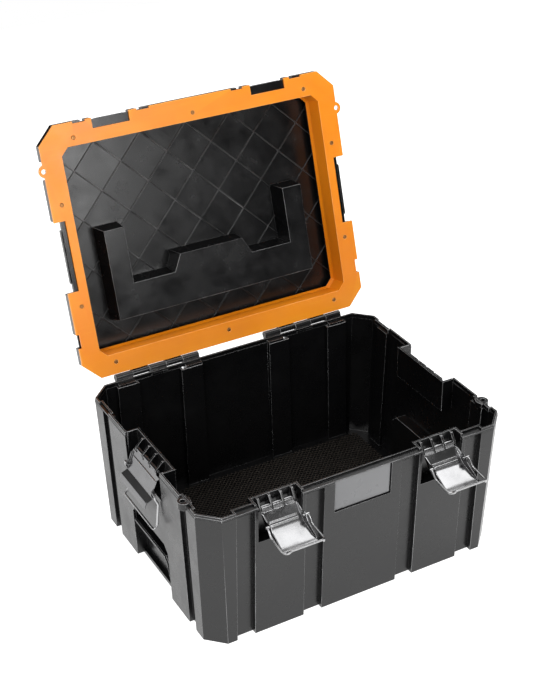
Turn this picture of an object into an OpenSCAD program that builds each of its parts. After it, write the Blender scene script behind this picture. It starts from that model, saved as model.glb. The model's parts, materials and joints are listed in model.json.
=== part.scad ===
// Stackable tool case: a deep ribbed tub, a hinged lid with an inner frame,
// four draw latches and a carry handle that folds into a well in the lid.
// Origin at the centre of the underside, +X to the right, +Y towards the hinge, +Z up.
// The lid and all that it carries are drawn closed, then swung open about the hinge.

/* [Body] */
// Width over the corner blocks
case_w = 440; // [420:5:460]
// Depth over the corner blocks
case_d = 342; // [332:2:360]
// Height of the rim above the underside
rim_h = 200; // [190:5:230]
// Thickness of the moulded walls
wall = 3; // [2.4:0.2:3.4]
// Thickness of the floor
floor_t = 3.2; // [2.6:0.2:5]
// How far each wall leans in between the rim and the underside
lean = 6.5; // [3:0.5:8]
// Length cut off each corner
corner_cut = 23.5; // [18:0.5:28]
// How far the panels stand proud of the bays between them
panel_relief = 7; // [4:0.5:7.5]
// Width of the middle panel
mid_panel_w = 112; // [96:2:118]
// Width of the panel that carries each front latch
latch_panel_w = 70; // [68:1:76]
// Width of each corner block, seen from the front
corner_block = 43; // [36:1:48]
// Width of the two grooves in each side wall
groove_w = 18; // [12:1:22]
// Depth of those grooves
groove_depth = 6; // [4:0.5:7]
// Distance from each groove to the front or rear face
groove_set = 49; // [44:1:56]

/* [Rim] */
// Height of the thin lip above the ledge
lip_h = 3; // [2:0.5:4]
// Thickness of the lip
lip_t = 2.4; // [2:0.2:3]
// Distance from the front face to the lip
lip_set = 8; // [7.5:0.5:9]
// Distance from the side faces to the lip, beside the corner blocks
side_lip_set = 4; // [3:0.5:6]
// Centre of each padlock eye behind the front face
eye_set = 55.5; // [54:0.5:58]
// Radius of the hole in a padlock eye
eye_hole_r = 3.25; // [2.5:0.25:4]
// Radius of the eye's rounded end
eye_r = 8.5; // [7.5:0.5:9.5]

/* [Hand grips] */
// Width of the grip recess in each side
grip_w = 106; // [90:2:120]
// Height of the recess's upper edge
grip_top = 84; // [76:1:96]
// Height of the shelf that divides the recess
grip_shelf_z = 57; // [50:1:62]
// Thickness of that shelf
grip_shelf_t = 3; // [2.5:0.5:4]
// Depth of the recess above the shelf
grip_depth = 21; // [18:1:24]
// Height of the strip left below the recess
grip_sill = 6; // [5:1:10]
// How far that strip is set back from the side face
foot_set = 9; // [6:0.5:10]

/* [Label] */
// Width of the label plate
label_w = 80; // [60:2:92]
// Height of the label plate
label_h = 45; // [30:1:50]
// Thickness of the label plate
label_t = 1.5; // [1:0.1:1.8]
// How far the label plate lies behind the panel's face
label_set = 2.2; // [0.3:0.1:2.6]

/* [Latches] */
// Distance of each front latch from the case's side
latch_set = 103; // [102:0.5:105]
// Half the width of a front latch pocket
front_pocket_half = 30.4; // [30:0.1:32]
// Half the width of a side latch pocket
side_pocket_half = 51; // [49:0.5:56]
// Depth of a latch pocket behind the face
pocket_d = 18; // [17:0.5:19]
// Height of the front pockets, down from the rim
front_pocket_h = 55; // [52:1:60]
// Height of the side pockets, down from the rim
side_pocket_h = 43; // [42:1:48]
// Depth of the front latch rods behind the face
rod_set = 11; // [10.5:0.5:11.5]
// Depth of the side latch rods behind the face
side_rod_set = 8; // [7.5:0.5:8.5]
// Height of the latch rods below the rim
rod_drop = 13; // [12:0.5:14]
// Radius of the latch rods
rod_r = 1.5; // [1.2:0.1:1.8]
// Width of a front lever
front_lever_w = 49; // [46:0.5:51]
// Length of a front lever from its rod
front_lever_l = 64; // [58:1:64]
// Width of a side lever
side_lever_w = 76; // [70:1:80]
// Length of a side lever from its rod
side_lever_l = 50; // [46:1:54]
// Thickness of the lever sheet
sheet_t = 1.2; // [1:0.1:1.4]
// Radius of the bail wire
wire_r = 1.5; // [1.2:0.1:1.6]
// Spacing of the lugs that hold a front rod
front_lug_pitch = 15.6; // [15:0.2:16]
// Spacing of the lugs that hold a side rod
side_lug_pitch = 19.5; // [18:0.5:21]
// Thickness of those lugs
lug_t = 3; // [2.4:0.2:3.4]
// Angle of the front levers as they stand, from hanging straight down
front_lever_open = 65; // [30:5:90]
// Angle of the front levers when shut
front_lever_shut = 24; // [22:0.5:26]
// Angle of the side levers, which hang shut
side_lever_shut = 21; // [20:0.5:22]
// Angle of the front bails as they stand, from hanging straight down
front_bail_open = 84; // [70:2:100]
// Angle of the side bails, which hang close to the wall
side_bail_open = 6; // [5:1:30]

/* [Lid] */
// Angle at which the lid stands open
lid_open = 106.6; // [90:0.1:110]
// Height of the closed lid above the rim
lid_h = 47; // [44:0.5:50]
// Height of the lid's flange above the rim
flange_h = 13; // [12.5:0.5:14]
// Gap between the closed lid and the rim
lid_gap = 0.3; // [0.2:0.1:0.5]
// Thickness of the frame's face
frame_t = 3; // [2.5:0.1:3.2]
// Width of the frame's face at the sides
frame_side = 28; // [26:0.5:29]
// Width of the frame's face at the front
frame_front = 31; // [30:0.5:32]
// Width of the frame's face at the rear
frame_rear = 28; // [26:0.5:30]
// Depth of the frame's inner wall
frame_deep = 33; // [28:0.5:33]
// Thickness of the frame's inner wall
frame_wall = 2.4; // [2:0.2:2.8]
// Cut at each corner of the frame's opening
opening_cut = 10; // [6:1:14]
// Half the width of the frame's front notches
front_notch_half = 26.5; // [26:0.5:27]
// Half the width of the frame's side notches
side_notch_half = 47.5; // [46.5:0.5:50]
// Spacing of the crossed stiffening ribs under the lid
lattice_pitch = 48; // [36:2:60]
// Width of those ribs
lattice_w = 1.6; // [1.2:0.2:2.4]
// Height of those ribs
lattice_h = 1.8; // [1:0.2:2.5]
// Reach of the front keepers out of their notches
front_keeper = 12; // [11.5:0.1:12.1]
// Reach of the side keepers out of their notches
side_keeper = 8.6; // [8:0.1:9]
// Half the length of each front keeper
front_keeper_half = 20.5; // [18:0.5:20.5]
// Half the length of each side keeper
side_keeper_half = 36; // [32:1:40]
// Distance from each front latch to the small steps beside it
step_set = 38; // [37:0.5:42]
// Length of the steps in the frame's edge
frame_step = 18; // [16:0.5:18.5]
// Length of the steps in the shell's edge
shell_step = 8; // [5:0.5:9]
// Depth of those steps
step_d = 2.8; // [2:0.2:4]

/* [Hinge] */
// Distance of the hinge axis behind the rear face
hinge_back = 5.4; // [5.3:0.1:6]
// Height of the hinge axis above the rim
hinge_up = 1.8; // [1.6:0.1:2.2]
// Radius of the hinge pins
hinge_pin_r = 2; // [1.6:0.1:2.2]
// Radius of the hinge knuckles
knuckle_r = 4.5; // [4:0.1:4.6]
// Distance from the case's side to the outer end of each hinge
hinge_end = 42; // [36:1:50]
// Length of each hinge
hinge_len = 126; // [110:1:130]

/* [Carry handle] */
// Width over the well that holds the handle
well_w = 302; // [290:2:306]
// Width of each arm of the well
well_arm = 29; // [28:0.5:32]
// Front edge of the well's arms, in front of the middle
well_front = 20; // [19:0.5:24]
// Rear edge of the well, behind the middle
well_rear = 103.5; // [102:0.5:108]
// Front to back size of the well's bar
well_bar = 45.5; // [44:0.5:48]
// How far the finger space reaches in front of the bar
well_bulge = 23; // [20:0.5:26]
// Half the width of the finger space
bulge_half = 48; // [42:1:54]
// Depth of the well below the top of the lid
well_d = 32.5; // [28:0.5:33]
// Thickness of the well's walls
well_wall = 2.5; // [2:0.1:3]
// How much wider the well's outside is at the roof than at its floor
well_draft = 3.5; // [0.5:0.5:4]
// Width of the handle's arms
arm_w = 14; // [12:0.5:16]
// Radius of the handle's pins
handle_pin_r = 2.5; // [2:0.1:3]
// Thickness of the handle
handle_t = 19; // [17:0.5:19.5]
// Front to back size of the grip
grip_bar = 22; // [20:0.5:24]

/* [Hidden] */

half_w = case_w / 2;
half_d = case_d / 2;
latch_x = half_w - latch_set;
ledge_z = rim_h - lip_h;
lean_deg = atan(lean / ledge_z);
eps = 0.01;
over = 1;
fit = 0.05;

// Bays in the front and rear walls, from the middle outwards
bay_1_from = mid_panel_w / 2;
bay_1_to = latch_x - latch_panel_w / 2;
bay_2_from = latch_x + latch_panel_w / 2;
bay_2_to = half_w - corner_block;
groove_to = half_d - groove_set;
groove_in = groove_to - groove_w;
lip_gap = 0.5;
lip_step = 12;

// Latches
rod_z = rim_h - rod_drop;
front_pocket_low = rim_h - front_pocket_h;
side_pocket_low = rim_h - side_pocket_h;
lug_r = 4;
knuckle_outer = rod_r + 1.6;
pivot_down = 28;
pivot_out = 2.5;
front_bail_half = front_lever_w / 2 + 3.5;
side_bail_half = side_lever_w / 2 + 6;
front_bail_l = 46.5;
side_bail_l = 49;
front_jog = 7;
side_jog = 5;
front_bail_shut = 189.7;
side_bail_shut = 198;
bend = 3;

// Lid, as closed
frame_z = rim_h + lid_gap;
shell_z = frame_z + frame_t;
flange_z = rim_h + flange_h;
lid_top = rim_h + lid_h;
open_x = half_w - frame_side;
open_y = (case_d - frame_front - frame_rear) / 2;
open_dy = (frame_front - frame_rear) / 2;
box_gap = 0.3;
box_x = open_x + frame_wall + box_gap + wall;
box_y = open_y + frame_wall + box_gap + wall;
lattice_shift = 5;
notch_d = 14;
side_notch_d = 16;
shell_notch_half = front_notch_half + 0.5;
shell_side_notch_half = side_notch_half + 1.5;
screw_r = 1.5;
screw_head_r = 2.6;
screw_head_t = 1.8;
boss_r = 4.5;
hinge_in = half_w - hinge_end - hinge_len;
hinge_y = half_d + hinge_back;
hinge_z = rim_h + hinge_up;
eye_x = half_w - 0.2;
eye_y = -half_d + eye_set;

// Where the frame is screwed to the lid
screw_x = half_w - 48;
screw_side_x = half_w - 15.5;
screw_side_y = 68.5;
screw_front_y = -half_d + 20.5;
screw_rear_y = half_d - 16.5;

// Carry handle, as folded
handle_y = -3;
handle_z = lid_top - 13;
well_half = well_w / 2;
well_in = well_half - well_arm;
arm_x = well_half - well_arm / 2;
grip_y1 = well_rear - well_wall - 6;

module octagon(a, b, cut) {
    polygon([
        [a - cut, -b], [a, -b + cut], [a, b - cut], [a - cut, b],
        [-a + cut, b], [-a, b - cut], [-a, -b + cut], [-a + cut, -b]
    ]);
}

module both(axis) {
    children();
    mirror(axis) children();
}

// Outline of a wall that leans in towards the underside, between two heights
function lean_at(half, z) = (half - lean * (ledge_z - z) / ledge_z) / half;

module leaning(z0, z1) {
    top = [lean_at(half_w, z1), lean_at(half_d, z1)];
    low = [lean_at(half_w, z0), lean_at(half_d, z0)];
    translate([0, 0, z1])
        mirror([0, 0, 1])
            linear_extrude(z1 - z0, scale = [low.x / top.x, low.y / top.y], slices = 1)
                scale(top)
                    children();
}

// A bay in a leaning wall: its edges stay upright and its floor leans with the wall
function lean_in(z) = lean * (ledge_z - z) / ledge_z;

module bay_section(half, depth) {
    polygon([
        [-half - over, -over], [-half + depth + lean_in(-over), -over],
        [-half + depth + lean_in(rim_h), rim_h], [-half - over, rim_h]
    ]);
}

module along_y(from, to) {
    translate([0, to, 0])
        rotate([90, 0, 0])
            linear_extrude(to - from)
                children();
}

// All the bays and grooves, grown by the wall for the inside
module bays(grow) {
    both([0, 1, 0]) both([1, 0, 0]) {
        for (b = [[bay_1_from, bay_1_to], [bay_2_from, bay_2_to]])
            along_x(b[0] - grow, b[1] + grow)
                bay_section(half_d, panel_relief + grow);
        along_y(-groove_to - grow, -groove_in + grow)
            bay_section(half_w, groove_depth + grow);
    }
}

// The body as a solid, its walls leaning in towards the underside
module body(z0, z1, inset) {
    difference() {
        leaning(z0, z1)
            octagon(half_w - inset, half_d - inset, corner_cut - inset * 0.586);
        bays(inset);
    }
}

module lip_plan(inset) {
    a = half_w - lip_gap;
    b = half_d - lip_gap;
    difference() {
        octagon(a - inset, b - inset, corner_cut - inset * 0.586);
        translate([-bay_2_to - inset, -half_d - over])
            square([2 * (bay_2_to + inset), over + lip_set + inset]);
        both([0, 1]) both([1, 0])
            translate([-half_w - over, -groove_to - lip_step - inset])
                square([over + side_lip_set + inset, groove_w + lip_step + 2 * inset]);
    }
}

// Each latch has its own frame: X along the rod, Y out of the wall, Z up from the rod
module at_front(side) {
    translate([side * latch_x, -half_d + rod_set, rod_z])
        rotate([0, 0, 180])
            children();
}

module at_side(side) {
    translate([side * (half_w - side_rod_set), 0, rod_z])
        rotate([0, 0, -90 * side])
            children();
}

module at_each_latch() {
    for (side = [-1, 1]) {
        at_front(side) children(0);
        at_side(side) children(1);
    }
}

module pocket_block(half, low, grow, set, out, top) {
    back = pocket_d - set + grow;
    translate([-half - grow, -back, low - grow - rod_z])
        cube([2 * (half + grow), back + set + out, top - low + grow]);
}

// Lugs on the pocket's back wall that hold the rod
module comb(pitch, set) {
    for (i = [-1.5:1:1.5])
        translate([i * pitch - lug_t / 2, 0, 0])
            rotate([90, 0, 90])
                linear_extrude(lug_t)
                    lug_profile(set - pocket_d);
}

module lug_profile(back) {
    circle(r = lug_r, $fn = 48);
    polygon([
        [back - 0.5, -lug_r * 3], [back - 0.5, rod_drop - 1], [back + 3.5, rod_drop - 1],
        [lug_r * 0.86, lug_r * 0.51], [lug_r * 0.6, -lug_r * 0.8], [0, -lug_r]
    ]);
}

// Band across the pocket behind a front lever, above the finger space
module pocket_band() {
    translate([-front_pocket_half, rod_set - pocket_d - eps, -20])
        cube([2 * front_pocket_half, pocket_d - rod_set - 2.5, 13]);
}

module rod_hole(half) {
    translate([-half, 0, 0])
        rotate([0, 90, 0])
            cylinder(r = rod_r + fit, h = 2 * half, $fn = 32);
}

// Recess for fingers in a side wall, seen along X, with cut corners
module grip_profile(half, low, high, cut) {
    polygon([
        [-half, low], [half, low], [half, high - cut], [half - cut, high],
        [-half + cut, high], [-half, high - cut]
    ]);
}

module along_x(from, to) {
    translate([from, 0, 0])
        rotate([90, 0, 90])
            linear_extrude(to - from)
                children();
}

module grip_cut() {
    half = grip_w / 2;
    deep = half_w - grip_depth;
    difference() {
        along_x(deep, half_w + over)
            grip_profile(half, grip_sill, grip_top, 9);
        along_x(deep - over, half_w - 5.5)
            grip_shelf(half);
    }
    along_x(half_w - lean - foot_set, half_w + over)
        translate([-half, -over])
            square([grip_w, grip_sill + over + eps]);
}

// Shelf across the recess, which bends down to the front edge
module grip_shelf(half) {
    t = grip_shelf_t;
    z = grip_shelf_z;
    polygon([
        [half + over, z], [half + over, z + t], [-half + 15, z + t], [-half + 6, z - 6], [-half + 3.5, z - 15],
        [-half - over, z - 23], [-half - over, z - 27], [-half + t, z - 20], [-half + 3.2 + t, z - 8], [-half + 14, z]
    ]);
}

module grip_housing() {
    half = grip_w / 2 + wall;
    deep = half_w - grip_depth - wall;
    along_x(deep, half_w - lean - wall / 2)
        grip_profile(half, 0, grip_top + wall, 9);
}

module eye(z0, z1) {
    translate([half_w - eye_r, eye_y, z0])
        linear_extrude(z1 - z0)
            eye_plan();
}

module eye_plan() {
    translate([eye_r - 2, 0])
        circle(r = eye_r, $fn = 48);
    translate([0, -eye_r])
        square([eye_r - 2, 2 * eye_r]);
}

module eye_hole(z0, z1) {
    translate([eye_x, eye_y, z0 - over])
        cylinder(r = eye_hole_r, h = z1 - z0 + 2 * over, $fn = 40);
}

// Hinge knuckles, counted outwards from the middle
knuckle_count = 5;
knuckle_pitch = hinge_len / knuckle_count;
knuckle_gap = 0.4;

module knuckle(i) {
    along_x(hinge_in + i * knuckle_pitch + knuckle_gap / 2, hinge_in + (i + 1) * knuckle_pitch - knuckle_gap / 2)
        children();
}

module hinge_bore() {
    translate([hinge_in - over, hinge_y, hinge_z])
        rotate([0, 90, 0])
            cylinder(r = hinge_pin_r + fit, h = hinge_len + 2 * over, $fn = 40);
}

module tub_knuckle() {
    translate([hinge_y, hinge_z])
        circle(r = knuckle_r, $fn = 48);
    polygon([
        [half_d - panel_relief - 2, ledge_z - 24], [hinge_y + knuckle_r * 0.95, hinge_z - knuckle_r * 0.3],
        [hinge_y - knuckle_r, hinge_z], [half_d - 1, ledge_z - eps], [half_d - panel_relief - 2, ledge_z - eps]
    ]);
}

module lid_knuckle() {
    translate([hinge_y, hinge_z])
        circle(r = knuckle_r, $fn = 48);
    polygon([
        [half_d - 2, shell_z + eps], [half_d + 0.4, shell_z + eps],
        [hinge_y - knuckle_r * 0.96, hinge_z - knuckle_r * 0.2],
        [hinge_y, hinge_z + knuckle_r], [half_d - 2, flange_z - eps]
    ]);
}

// Places the label in the leaning front face: X across, Y into the wall, Z up
module on_front_face() {
    translate([0, -half_d, ledge_z])
        rotate([lean_deg, 0, 0])
            children();
}

module tub() {
    label_clear = 1;
    color([0.07, 0.07, 0.075])
    difference() {
        union() {
            difference() {
                union() {
                    body(0, ledge_z, 0);
                    translate([0, 0, ledge_z - wall])
                        linear_extrude(wall)
                            octagon(half_w, half_d, corner_cut);
                    translate([0, 0, ledge_z - wall])
                        linear_extrude(lip_h + wall)
                            lip_plan(0);
                }
                body(floor_t, ledge_z - wall, wall);
                translate([0, 0, ledge_z - wall - eps])
                    linear_extrude(lip_h + wall + over)
                        lip_plan(lip_t);
            }
            at_each_latch() {
                pocket_block(front_pocket_half, front_pocket_low, wall, rod_set, -4, rim_h);
                pocket_block(side_pocket_half, side_pocket_low, wall, side_rod_set, -4, rim_h);
            }
            on_front_face()
                translate([-label_w / 2 - wall, wall - 1, -label_h - wall - 2])
                    cube([label_w + 2 * wall, label_t + label_set + 1, label_h + wall]);
            both([1, 0, 0]) {
                grip_housing();
                eye(rim_h - 10, rim_h - 0.4);
                difference() {
                    for (i = [0, 2, 4]) knuckle(i) tub_knuckle();
                    body(floor_t, ledge_z, wall);
                }
            }
        }
        at_each_latch() {
            pocket_block(front_pocket_half, front_pocket_low, 0, rod_set, over, rim_h + over);
            pocket_block(side_pocket_half, side_pocket_low, 0, side_rod_set, over, rim_h + over);
        }
        both([1, 0, 0]) {
            grip_cut();
            eye_hole(rim_h - 10, rim_h);
            hinge_bore();
        }
        on_front_face()
            translate([-label_w / 2 - label_clear, -over, -label_h - 1.5 - label_clear])
                cube([label_w + 2 * label_clear, over + label_t + label_set, label_h + 2 * label_clear]);
    }
    color([0.07, 0.07, 0.075])
    at_each_latch() {
        difference() {
            union() {
                comb(front_lug_pitch, rod_set);
                pocket_band();
            }
            rod_hole(front_pocket_half);
        }
        difference() {
            comb(side_lug_pitch, side_rod_set);
            rod_hole(side_pocket_half);
        }
    }
}

module label_plate() {
    color([0.74, 0.75, 0.76])
    on_front_face()
        translate([-label_w / 2, label_set, -label_h - 1.5])
            cube([label_w, label_t, label_h]);
}

module hinge_pin(side) {
    color([0.6, 0.6, 0.62])
    translate([side > 0 ? hinge_in : -hinge_in - hinge_len, hinge_y, hinge_z])
        rotate([0, 90, 0])
            cylinder(r = hinge_pin_r, h = hinge_len, $fn = 40);
}

module latch_rod(pitch) {
    half = 1.5 * pitch + lug_t / 2 + 1;
    color([0.8, 0.8, 0.82])
    translate([-half, 0, 0])
        rotate([0, 90, 0])
            cylinder(r = rod_r, h = 2 * half, $fn = 32);
}

// Middle line of each lever's sheet: distance out from the rod's plane, and distance below the rod
front_line = [[0, lug_r + 2], [-5, 17], [-7.6, 30], [-3.6, front_lever_l - 11], [1.2, front_lever_l]];
side_line = [[0, lug_r + 2], [0, side_lever_l - 15], [7, side_lever_l - 8], [7, side_lever_l]];

// Pressed lever, hanging straight down from its rod: the sheet bent along its line,
// three knuckles that wrap the rod between the lugs, and two cheeks that carry the bail
module lever(width, pitch, line, cheek_top, foot, ridges) {
    half = width / 2;
    top = lug_r + 2;
    t = sheet_t / 2;
    last = len(line) - 1;
    ear = pivot_out + wire_r + 1.1;
    at_foot = lookup(foot, [for (p = line) [p[1], p[0]]]);
    color([0.82, 0.83, 0.84])
    difference() {
        union() {
            along_x(-half, half)
                polygon(concat(
                    [for (p = line) [p[0] - t, -p[1]]],
                    [for (i = [last:-1:0]) [line[i][0] + t, -line[i][1]]]
                ));
            for (i = [-1:1])
                along_x(i * pitch - (pitch - lug_t) / 2 + 0.3, i * pitch + (pitch - lug_t) / 2 - 0.3)
                    union() {
                        circle(r = knuckle_outer, $fn = 40);
                        translate([-t, -top - 1])
                            square([sheet_t, top + 1]);
                    }
            both([1, 0, 0])
                along_x(half - sheet_t, half)
                    polygon(concat(
                        [for (p = line) if (p[1] < foot) [p[0] - t, -max(p[1], top + 1)]],
                        [[at_foot - t, -foot], [at_foot + t, -foot], [cheek_top, -foot + 2],
                         [cheek_top, -min(pivot_down + 8, foot - 2.5)], [ear, -pivot_down - 2.6],
                         [ear, -pivot_down + 2.6], [cheek_top, -pivot_down + 8], [cheek_top, -top - 4]]
                    ));
            for (r = ridges)
                ridge(half - 6, line, r[0], r[1]);
        }
        rod_hole(half);
        translate([0, pivot_out, -pivot_down])
            rod_hole(half + over);
    }
}

// Raised ridge pressed across the sheet, between two distances below the rod
module ridge(half, line, from, to) {
    table = [for (p = line) [p[1], p[0] + sheet_t / 2]];
    along_x(-half, half)
        polygon([
            [lookup(from, table) - 0.2, -from], [lookup(from, table) + 1, -from - 0.7],
            [lookup(to, table) + 1, -to + 0.7], [lookup(to, table) - 0.2, -to]
        ]);
}

function unit(v) = v / norm(v);

// Rounds the corners of a path: each inner point becomes a short curve of four steps
function rounded(path, r) = [
    path[0],
    for (i = [1:len(path) - 2])
        let (
            p = path[i],
            a = p - unit(p - path[i - 1]) * min(r, norm(p - path[i - 1]) / 2.2),
            b = p + unit(path[i + 1] - p) * min(r, norm(path[i + 1] - p) / 2.2)
        )
        for (k = [0:4])
            let (u = k / 4)
            a * (1 - u) * (1 - u) + p * 2 * u * (1 - u) + b * u * u,
    path[len(path) - 1]
];

function tangent(path, i) =
    unit(path[min(i + 1, len(path) - 1)] - path[max(i - 1, 0)]);

// A round wire along a path that never runs along Y
module wire(path, r) {
    sides = 8;
    n = len(path);
    points = [
        for (i = [0:n - 1])
            let (
                t = tangent(path, i),
                a = unit(cross([0, 1, 0], t)),
                b = cross(t, a)
            )
            for (k = [0:sides - 1])
                path[i] + r * (a * cos(360 * k / sides) + b * sin(360 * k / sides))
    ];
    walls = [
        for (i = [0:n - 2])
            for (k = [0:sides - 1])
                let (j = (k + 1) % sides)
                for (f = [[i * sides + k, (i + 1) * sides + j, i * sides + j],
                          [i * sides + k, (i + 1) * sides + k, (i + 1) * sides + j]])
                    f
    ];
    start = [for (k = [0:sides - 1]) k];
    end = [for (k = [sides - 1:-1:0]) (n - 1) * sides + k];
    polyhedron(points = points, faces = concat([start], walls, [end]), convexity = 6);
}

// Bail, hanging straight down from its pivots, with stepped legs and a hooked end
function bail_leg(half, long, jog, tuck) = concat(
    [[-half, 0, 0], [-half, 0, -4], [-half, -jog, -12]],
    tuck > 0
        ? [[-half, -jog, -long + 7], [-half + tuck - 1, -jog + 1.5, -long + 2], [-half + tuck, 0, -long]]
        : [[-half, -jog, -long + 4], [-half, 0, -long]]
);

module bail(half, long, jog, lever_half, tuck) {
    leg = bail_leg(half, long, jog, tuck);
    back = [for (i = [len(leg) - 1:-1:0]) [-leg[i].x, leg[i].y, leg[i].z]];
    inner = lever_half - sheet_t - 2;
    path = rounded(concat(leg, back), bend);
    color([0.8, 0.81, 0.83]) {
        wire(path, wire_r);
        both([1, 0, 0])
            translate([inner, 0, 0])
                rotate([0, 90, 0])
                    cylinder(r = wire_r, h = half - inner + wire_r, $fn = 24);
    }
}

// Puts a bail on its lever's pivot at the two angles given
module on_lever(lever_deg, bail_deg) {
    rotate([lever_deg, 0, 0])
        translate([0, pivot_out, -pivot_down])
            rotate([bail_deg - lever_deg, 0, 0])
                children();
}

module front_lever() {
    rotate([front_lever_open, 0, 0])
        lever(front_lever_w, front_lug_pitch, front_line, 1.2, front_lever_l - 4,
            [[18.5, 21], [23, 25.5]]);
}

module side_lever() {
    rotate([side_lever_shut, 0, 0])
        lever(side_lever_w, side_lug_pitch, side_line, 3, side_lever_l - 15, [[12, 14.5]]);
}

module front_bail() {
    on_lever(front_lever_open, front_bail_open)
        bail(front_bail_half, front_bail_l, front_jog, front_lever_w / 2, 5.5);
}

module side_bail() {
    on_lever(side_lever_shut, side_bail_open)
        bail(side_bail_half, side_bail_l, side_jog, side_lever_w / 2, 0);
}

// Swings what is drawn closed to the angle at which the lid stands
module opened() {
    translate([0, hinge_y, hinge_z])
        rotate([-lid_open, 0, 0])
            translate([0, -hinge_y, -hinge_z])
                children();
}

module opening_plan(grow) {
    translate([0, open_dy])
        octagon(open_x + grow, open_y + grow, opening_cut + grow * 0.586);
}

// Notches for the latches in the lid's edge
module notches(front_half, side_half, grow) {
    for (side = [-1, 1]) {
        translate([side * latch_x - front_half - grow, -half_d - over])
            square([2 * (front_half + grow), over + notch_d + grow]);
        translate([side > 0 ? half_w - side_notch_d - grow : -half_w - over, -side_half - grow])
            square([over + side_notch_d + grow, 2 * (side_half + grow)]);
    }
}

// Small steps in the lid's edge: from, to and depth along the front, and beside the rear corners
module edge_steps(front_steps, depth, eye_depth) {
    both([1, 0]) {
        for (s = front_steps)
            translate([s[0], -half_d - over])
                square([s[1] - s[0], over + depth]);
        translate([half_w - 4.5, half_d - 66])
            square([over + 4.5, 19]);
        if (eye_depth > 0)
            translate([half_w - eye_depth, eye_y - 12])
                square([over + eye_depth, 24]);
    }
}

module flange_plan(grow) {
    difference() {
        octagon(half_w - grow, half_d - grow, corner_cut - grow * 0.586);
        notches(shell_notch_half, shell_side_notch_half, grow);
        edge_steps(
            [[latch_x - step_set - shell_step - grow, latch_x - step_set + grow],
             [latch_x + step_set - 3 - grow, latch_x + step_set - 5 + shell_step + grow]],
            step_d + grow, 6 + grow);
    }
}

// The keeper that a bail hooks over: a ledge out of the notch's back wall, ribs below it
// and a raised lip at its edge, with a thin web that closes the notch beside it
module keeper(half, reach, bar_z, web_half, web) {
    ledge = bar_z - wire_r - 0.3;
    low = shell_z + 0.3;
    translate([-web_half, -1, shell_z])
        cube([2 * web_half, web + 1, 0.9]);
    translate([-half, -1, ledge - 1.6])
        cube([2 * half, reach + 1, 1.6]);
    for (i = [-2:2])
        translate([i * (half - 1) / 2 - 1, -1, low])
            cube([2, reach, ledge - 1.6 - low + eps]);
    translate([-half, reach - 1.5, low])
        cube([2 * half, 1.5, bar_z - low]);
}

module keepers() {
    for (side = [-1, 1]) {
        translate([side * latch_x, -half_d + notch_d, 0])
            rotate([0, 0, 180])
                keeper(front_keeper_half, front_keeper, front_bail_z, shell_notch_half + 0.5, front_keeper);
        translate([side * (half_w - side_notch_d), 0, 0])
            rotate([0, 0, -90 * side])
                keeper(side_keeper_half, side_keeper, side_bail_z, shell_side_notch_half + 0.5, side_keeper - 2.6);
    }
}

// Height of each bail's bar when the latch is shut
front_bail_z = rod_z - pivot_down * cos(front_lever_shut) + pivot_out * sin(front_lever_shut)
    - front_bail_l * cos(front_bail_shut);
side_bail_z = rod_z - pivot_down * cos(side_lever_shut) + pivot_out * sin(side_lever_shut)
    - side_bail_l * cos(side_bail_shut);

module box_plan(inset) {
    opening_plan(frame_wall + box_gap + wall - inset);
}

// The U-shaped well that takes the folded handle, with its finger space
module well_plan(i) {
    a = well_half - i;
    b = well_in + i;
    f = -well_front + i;
    r = well_rear - i;
    m = well_rear - well_bar + i;
    n = m - well_bulge;
    c = bulge_half - i;
    d = c + 12;
    polygon([
        [-a, f], [-b, f], [-b, m], [-d, m], [-c, n], [c, n], [d, m], [b, m],
        [b, f], [a, f], [a, r], [-a, r]
    ]);
}

// Outside of one straight part of the well, wider at the roof than at the floor
module well_block(x0, x1, y0, y1) {
    z0 = lid_top - well_d - well_wall;
    z1 = lid_top - 2;
    d = well_draft;
    intersection() {
        along_x(x0 - d, x1 + d)
            polygon([[y0, z0], [y1, z0], [y1 + d, z1], [y0 - d, z1]]);
        along_y(y0 - d, y1 + d)
            polygon([[x0, z0], [x1, z0], [x1 + d, z1], [x0 - d, z1]]);
    }
}

module well_outside() {
    bar = well_rear - well_bar;
    both([1, 0, 0])
        well_block(well_in, well_half, -well_front, well_rear);
    well_block(-well_half, well_half, bar, well_rear);
    well_block(-bulge_half, bulge_half, bar - well_bulge, well_rear);
    translate([0, 0, lid_top - well_d - well_wall])
        linear_extrude(well_d + well_wall - 2)
            well_plan(0);
}

module lattice_plan() {
    n = ceil(case_w / lattice_pitch);
    intersection() {
        box_plan(wall);
        for (turn = [-45, 45])
            translate([lattice_shift, 0])
                rotate(turn)
                    for (i = [-n:n])
                        translate([i * lattice_pitch - lattice_w / 2, -case_w])
                            square([lattice_w, 2 * case_w]);
    }
}

module screw_places() {
    for (side = [-1, 1]) {
        translate([side * screw_x, screw_front_y, 0]) children();
        translate([side * screw_x, screw_rear_y, 0]) children();
        translate([side * screw_side_x, screw_side_y, 0]) children();
        translate([side * screw_side_x, -screw_side_y, 0]) children();
    }
    translate([0, screw_front_y, 0]) children();
    translate([0, screw_rear_y, 0]) children();
}

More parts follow.
